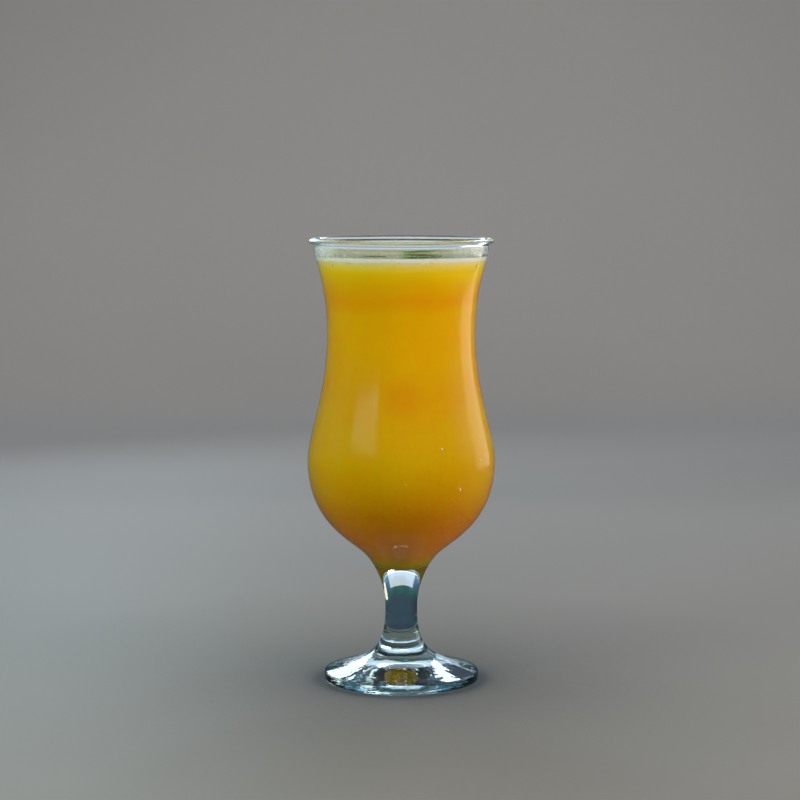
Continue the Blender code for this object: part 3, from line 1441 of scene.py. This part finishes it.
@dataclass
class MintLeaf:
    """A mint leaf that lies on the froth, with a toothed edge, a midrib and quilted sides."""

    node: Node
    length: float
    width: float
    x: float
    y: float
    heading: float
    lift: float
    wave: float
    roll: float
    # Share of painted light, a paler green, that lifts the leaf's shaded edges.
    painted_light_share: float = 0.0
    level: float = 0.1870
    thickness: float = 0.0004
    rows: int = 110
    columns: int = 30
    teeth: int = 9
    tooth: float = 0.10
    tooth_end: float = 0.999
    blunt: float = 0.035
    taper: float = 0.85
    roundness: float = 0.7
    fold: float = 0.00035
    waves: float = 2.2
    skew: float = 1.6
    quilt: float = 0.00010
    quilt_slant: float = 0.10
    quilt_start: float = 0.15
    veins: float = 7.0
    clearance: float = 0.0002

    def share(self, u: float) -> float:
        """Gives the leaf's width at a place along it.

        Args:
            u: Place from its stalk, 0, to its tip, 1.

        Returns:
            The width as a share of its widest.
        """
        place = self.blunt + (1 - 2 * self.blunt) * u
        blade = math.sin(math.pi * place**self.taper) ** self.roundness
        saw = (u * self.teeth) % 1.0
        bite = (1 - math.cos(math.pi * saw)) / 2 if saw < self.tooth_end else 0.0
        return blade * (1 - self.tooth * bite)

    def height(self, u: float, v: float) -> float:
        """Gives the height of the leaf's middle surface.

        Args:
            u: Place along it, from 0 to 1.
            v: Place across it, from -1 to 1.

        Returns:
            The height above its lowest point, before the leaf is put down.
        """
        out = abs(v)
        fold = self.fold * out * (1 - u)
        ripple = self.wave * out * math.sin(self.waves * math.tau * u + self.skew * v)
        cell = abs(math.sin(math.pi * self.veins * (u - 0.5 - self.quilt_slant * out)))
        swell = math.sin(math.pi * min(1.0, self.quilt_start + out * (1 - self.quilt_start)))
        quilt = self.quilt * math.sqrt(cell) * swell
        raised = abs(self.roll) * u * (1 - u) * 2 * (1 + math.copysign(v, self.roll * v))
        return self.lift * u**2 + fold + ripple + quilt + raised

    def build(self) -> None:
        """Builds and dresses the leaf."""
        bm = bmesh.new()
        bmesh.ops.create_grid(bm, x_segments=self.rows, y_segments=self.columns, size=0.5)
        for vert in bm.verts:
            u, v = vert.co.x + 0.5, vert.co.y * 2
            vert.co.x *= self.length
            vert.co.y = v * self.width / 2 * self.share(u)
            vert.co.z = self.height(u, v)
        lowest = min(vert.co.z for vert in bm.verts)
        mesh = bpy.data.meshes.new(self.node.value + "_blade")
        bm.to_mesh(mesh)
        bm.free()
        mesh.shade_smooth()
        finish = MintSkin(
            name=self.node.value + "_skin",
            length=self.length,
            width=self.width,
            veins=self.veins,
            covered=self.painted_light_share,
        )
        mesh.materials.append(finish.material())
        piece = placed(self.node.value + "_blade", mesh)
        rest = self.level + self.clearance + self.thickness / 2 - lowest
        turned = Matrix.Rotation(math.radians(self.heading), 4, "Z")
        piece.matrix_world = Matrix.Translation((self.x, self.y, rest)) @ turned
        shell = piece.modifiers.new("thickness", "SOLIDIFY")
        shell.thickness = self.thickness
        shell.offset = 0.0
        announce(piece, finish, [self.node])


# The two small leaves end with their share of painted light.
LEAVES = (
    MintLeaf(Node.LEAF_RIGHT, 0.0215, 0.0095, 0.0098, -0.0075, 36, 0.0014, 0.00018, 0.0006),
    MintLeaf(Node.LEAF_LEFT, 0.0130, 0.0070, -0.0125, 0.0010, 175, 0.0004, 0.0002, -0.0003, 0.7),
    MintLeaf(Node.LEAF_EDGE, 0.0095, 0.0055, -0.0275, 0.0120, 66, 0.0003, 0.0002, 0.0003, 0.7),
)


class Cluster(NamedTuple):
    """Bubbles round one place of the wall: its turn and spread in degrees, number and reach up."""

    turn: float
    spread: float
    count: int
    reach: float


@dataclass
class WallFoam:
    """Small bubbles that cling to the inside of the glass over the froth line."""

    section: TulipSection
    clusters: tuple[Cluster, ...] = (
        Cluster(42, 13, 150, 0.0026),
        Cluster(140, 16, 60, 0.0012),
        Cluster(-150, 14, 50, 0.0012),
        Cluster(-60, 40, 60, 0.0007),
        Cluster(90, 50, 70, 0.0008),
    )
    level: float = 0.1875
    seed: int = 19
    least: float = 0.00012
    most: float = 0.00042
    flatness: float = 0.7
    into_wall: float = 0.00003

    def build(self) -> None:
        """Builds the bubbles."""
        draw = random.Random(self.seed)
        wall = self.section.inner_wall()
        domes = []
        for cluster in self.clusters:
            for _ in range(cluster.count):
                turn = math.radians(draw.gauss(cluster.turn, cluster.spread / 2))
                height = self.level + abs(draw.gauss(0.0, cluster.reach / 2))
                size = self.least + (self.most - self.least) * draw.random() ** 2
                place = on_wall(turn, radius_at(wall, height) + self.into_wall, height, -1)
                domes.append(place @ Matrix.Diagonal((size, size, size * self.flatness, 1.0)))
        mesh = dome_mesh("wall_foam", domes, rings=3, sides=10)
        new_piece("wall_foam", mesh, BubbleFilm())


class Speck(NamedTuple):
    """A small thing on a wall: its turn from +X in degrees, its height and its radius."""

    turn: float
    height: float
    size: float


@dataclass
class WallFlecks:
    """Chopped mint and pulp that the froth presses against the glass."""

    section: TulipSection
    flecks: tuple[Speck, ...] = (
        Speck(-26.0, 0.1843, 0.00060),
        Speck(-24.5, 0.1851, 0.00022),
        Speck(-128.0, 0.1856, 0.00025),
        Speck(70.0, 0.1849, 0.00050),
        Speck(152.0, 0.1838, 0.00040),
        Speck(215.0, 0.1846, 0.00045),
    )
    stand: float = 0.00012
    longer: float = 1.3

    def build(self) -> None:
        """Builds the flecks."""
        wall = self.section.inner_wall()
        domes = []
        for turn, height, size in self.flecks:
            radius = radius_at(wall, height) - self.stand / 2
            place = on_wall(math.radians(turn), radius, height, 1)
            flat = Matrix.Diagonal((size, size * self.longer, 2 * self.stand, 1.0))
            domes.append(place @ flat)
        mesh = dome_mesh("mint_flecks", domes, rings=4, sides=12)
        new_piece("mint_flecks", mesh, MintSkin(name="mint_fleck_skin"))


@dataclass
class Condensation:
    """Small beads of water on the outside of the bowl."""

    section: TulipSection
    count: int = 14
    seed: int = 31
    least: float = 0.00014
    most: float = 0.00034
    lowest: float = 0.075
    highest: float = 0.150
    seen_in_front: tuple[Speck, ...] = (
        Speck(-64.3, 0.1070, 0.00050),
        Speck(-51.5, 0.0893, 0.00055),
        Speck(-33.3, 0.1006, 0.00045),
    )
    longer: float = 1.15
    flatness: float = 0.45
    into_wall: float = 0.00002
    slope_step: float = 0.001

    def build(self) -> None:
        """Builds the beads."""
        draw = random.Random(self.seed)
        wall = self.section.outer_wall()
        beads = [bead._replace(turn=math.radians(bead.turn)) for bead in self.seen_in_front]
        for _ in range(self.count):
            height = draw.uniform(self.lowest, self.highest)
            turn = draw.uniform(0, math.tau)
            size = self.least + (self.most - self.least) * draw.random() ** 2
            beads.append(Speck(turn, height, size))
        domes = []
        for turn, height, size in beads:
            above, below = (radius_at(wall, height + side * self.slope_step) for side in (1, -1))
            slope = (above - below) / (2 * self.slope_step)
            radius = radius_at(wall, height) - self.into_wall
            shape = Matrix.Diagonal((size, size * self.longer, size * self.flatness, 1.0))
            domes.append(on_wall(turn, radius, height, 1, -slope) @ shape)
        mesh = dome_mesh("water_beads", domes, rings=5, sides=16)
        new_piece("water_beads", mesh, WaterBead())


class Shows(Enum):
    """Whether the glass shows a lamp, as pairs: mirrored in its surface, seen through it."""

    BOTH = (True, True)
    MIRRORED = (True, False)
    THROUGH = (False, True)
    NEITHER = (False, False)


@dataclass
class Softbox:
    """A soft lamp that faces the drink, placed by its direction seen from it.

    azimuth is in degrees from the camera's side, positive to the camera's right, and aim is the
    height that the lamp faces.
    """

    name: str
    azimuth: float
    elevation: float
    distance: float
    width: float
    height: float
    power: float
    colour: Colour
    shows: Shows = Shows.BOTH
    aim: float = 0.110

    def build(self) -> None:
        """Makes the lamp."""
        lamp = area_lamp(self.name, (self.width, self.height), self.power, self.colour)
        turn, rise = math.radians(self.azimuth), math.radians(self.elevation)
        level = math.cos(rise)
        away = Vector((math.sin(turn) * level, -math.cos(turn) * level, math.sin(rise)))
        lamp.location = Vector((0.0, 0.0, self.aim)) + away * self.distance
        lamp.rotation_euler = away.to_track_quat("Z", "Y").to_euler()
        lamp.visible_glossy, lamp.visible_transmission = self.shows.value
        LOG.info("%s: %.2f W", self.name, self.power)


@dataclass
class Studio:
    """The floor, the backdrop that curves up behind it, the lamps, the sky and the camera."""

    half_width: float = 2.6
    front: float = -2.6
    bend_start: float = 0.95
    bend_radius: float = 0.55
    wall_top: float = 1.9
    drop: float = 0.0001
    bend_steps: int = 24
    near_radius: float = 0.050
    far_radius: float = 0.22
    near_sides: int = 96
    camera_place: Place = (-0.00057, -1.0124, 0.2340)
    camera_tilt: float = 83.808
    lens: float = 104.5
    sensor: float = 36.0
    nearest: float = 0.01
    lamps: tuple[Softbox, ...] = (
        Softbox("key_right", 64, 14, 1.00, 0.60, 0.36, 8.2, (1.0, 0.93, 0.80), Shows.NEITHER),
        Softbox("fill_left", -57, 18, 1.00, 0.60, 0.40, 6.5, (0.87, 1.0, 0.80), Shows.NEITHER),
        Softbox("low_front", 0, 3, 1.00, 0.70, 0.10, 1.25, (1.0, 0.95, 0.85), Shows.NEITHER),
        Softbox("top_front", 0, 62, 1.05, 1.00, 0.40, 2.1, (1.0, 0.98, 0.96), Shows.MIRRORED),
        Softbox("window_left", -50, 17, 0.85, 0.52, 0.09, 0.190, (0.45, 1.0, 0.85)),
        Softbox("warm_right", 118, 3, 0.70, 0.42, 0.30, 0.52, (1.0, 0.82, 0.60)),
        Softbox("sky_left", -158, 18, 0.80, 0.26, 0.24, 1.4, (0.72, 0.91, 1.0), Shows.MIRRORED),
        Softbox("sky_right", 160, 30, 0.80, 0.16, 0.16, 0.7, (0.80, 0.92, 1.0)),
        Softbox("card_behind", 180, 13.5, 0.514, 0.50, 0.24, 0.22, (1.0, 0.93, 0.96), Shows.THROUGH),
        Softbox("back_glow", 180, 9, 0.90, 0.90, 0.05, 0.20, (0.92, 0.97, 1.0), Shows.MIRRORED),
    )
    backdrop_size: Point = (1.8, 0.4)
    backdrop_light: float = 6.0
    backdrop_colour: Colour = (0.93, 0.98, 1.0)
    backdrop_lamp_place: Place = (0.0, 0.95, 0.60)
    backdrop_target: Place = (0.0, 1.25, 0.05)
    sky_wander: Grain = Grain(2.6, 3.0, 0.55)
    sky_wander_reach: float = 0.5
    sky_rises_beside: Fade = Fade(0.4, 0.9, 0.0, 0.12)
    sky_dim_in_front: Fade = Fade(0.05, -0.35, 0.7, 0.06)
    sky_dim_on_left: Fade = Fade(-0.95, -0.35, 0.4, 1.0)
    sky_dim_on_matter: Fade = Fade(0.0, 1.0, 1.0, 0.4)
    sky_range: Fade = Fade(-0.5, 1.0)
    sky_colours: tuple[Layer, ...] = (
        (0.00, (0.050, 0.080, 0.115)),
        (0.20, (0.062, 0.105, 0.145)),
        (0.30, (0.065, 0.105, 0.135)),
        (0.40, (0.050, 0.180, 0.160)),
        (0.50, (0.110, 0.280, 0.420)),
        (0.60, (0.340, 0.560, 0.780)),
        (0.72, (0.600, 0.740, 0.860)),
        (0.85, (0.340, 0.380, 0.420)),
        (1.00, (0.300, 0.330, 0.360)),
    )

    def surround(
        self,
        name: str,
        verts: Sequence[Vector],
        faces: Sequence[Sequence[int]],
        through_glass: bool = False,
    ) -> None:
        """Makes a part of the studio, which isn't part of the drink.

        Args:
            name: Its name.
            verts: Its points.
            faces: Its faces, as numbers of points.
            through_glass: Whether it is seen through the glass.
        """
        mesh = smooth_mesh(name, verts, faces)
        mesh.materials.append(PaleFloor().material())
        made = placed(name, mesh)
        made.visible_glossy = False
        made.visible_transmission = through_glass

    def floor(self) -> None:
        """Builds the floor by the foot, and the rest of it, which the glass doesn't show."""
        count = self.near_sides
        turns = [math.tau * step / count for step in range(count)]
        near, middle, far = (
            [Vector((math.cos(t) * reach, math.sin(t) * reach, -self.drop)) for t in turns]
            for reach in (self.near_radius, self.far_radius, self.bend_start)
        )
        ring = [(i, count + i, count + (i + 1) % count, (i + 1) % count) for i in range(count)]
        self.surround("floor", near, [range(count)], through_glass=True)
        self.surround("floor_round", near + middle, ring)
        self.surround("floor_far", middle + far, ring)

    def backdrop(self) -> None:
        """Builds the floor in front and the backdrop that curves up behind the drink."""
        centre = (self.bend_start, self.bend_radius - self.drop)
        bend = arc(centre, self.bend_radius, -90, 0, self.bend_steps)
        section = [(self.front, -2 * self.drop), (0.0, -2 * self.drop)]
        section += [(y, z - self.drop) for y, z in bend] + [(bend[-1][0], self.wall_top)]
        verts = [Vector((side * self.half_width, y, z)) for y, z in section for side in (-1, 1)]
        faces = [(2 * i, 2 * i + 1, 2 * i + 3, 2 * i + 2) for i in range(len(section) - 1)]
        self.surround("backdrop", verts, faces)

    def backdrop_lamp(self) -> None:
        """Lights the backdrop from above, behind the drink."""
        lamp = area_lamp(
            "backdrop_lamp", self.backdrop_size, self.backdrop_light, self.backdrop_colour
        )
        lamp.location = self.backdrop_lamp_place
        away = lamp.location - Vector(self.backdrop_target)
        lamp.rotation_euler = away.to_track_quat("Z", "Y").to_euler()

    def sky(self) -> None:
        """Makes the soft light from all round: blue above, slate near the ground, dim in front."""
        world = bpy.data.worlds.new("studio")
        world.use_nodes = True
        bpy.context.scene.world = world
        graph = Graph(world.node_tree)
        way = graph.add("TexCoord").outputs["Generated"]
        x, y, z = graph.split(way)
        beside = graph.fade(graph.math("ABSOLUTE", x), self.sky_rises_beside)
        rise = graph.wandering(z, self.sky_wander, self.sky_wander_reach, way)
        rise = graph.fade(graph.math("ADD", rise, beside), self.sky_range)
        strength = graph.product(
            graph.fade(y, self.sky_dim_in_front),
            graph.fade(x, self.sky_dim_on_left),
            graph.fade(graph.add("LightPath").outputs["Is Diffuse Ray"], self.sky_dim_on_matter),
        )
        inputs = {"Color": graph.ramp(rise, self.sky_colours), "Strength": strength}
        graph.add("OutputWorld", {"Surface": graph.add("Background", inputs).outputs[0]})

    def camera(self) -> None:
        """Makes the camera that looks at the drink as in the picture."""
        data = bpy.data.cameras.new("camera")
        data.lens = self.lens
        data.sensor_width = self.sensor
        data.clip_start = self.nearest
        camera = placed("camera", data)
        camera.location = self.camera_place
        camera.rotation_euler = Euler((math.radians(self.camera_tilt), 0.0, 0.0))
        bpy.context.scene.camera = camera

    def build(self) -> None:
        """Sets up everything round the drink."""
        self.camera()
        self.floor()
        self.backdrop()
        self.sky()
        for lamp in self.lamps:
            lamp.build()
        self.backdrop_lamp()
        bpy.context.scene.view_settings.view_transform = "Standard"


def main() -> None:
    """Builds the drink and its studio in order."""
    logging.basicConfig(level=logging.INFO, format="%(message)s")
    section = TulipSection()
    Studio().build()
    Goblet(section).build()
    Smoothie(section).build()
    FrothLayer(section).build()
    for leaf in LEAVES:
        leaf.build()
    WallFoam(section).build()
    WallFlecks(section).build()
    Condensation(section).build()


if __name__ == "__main__":
    main()
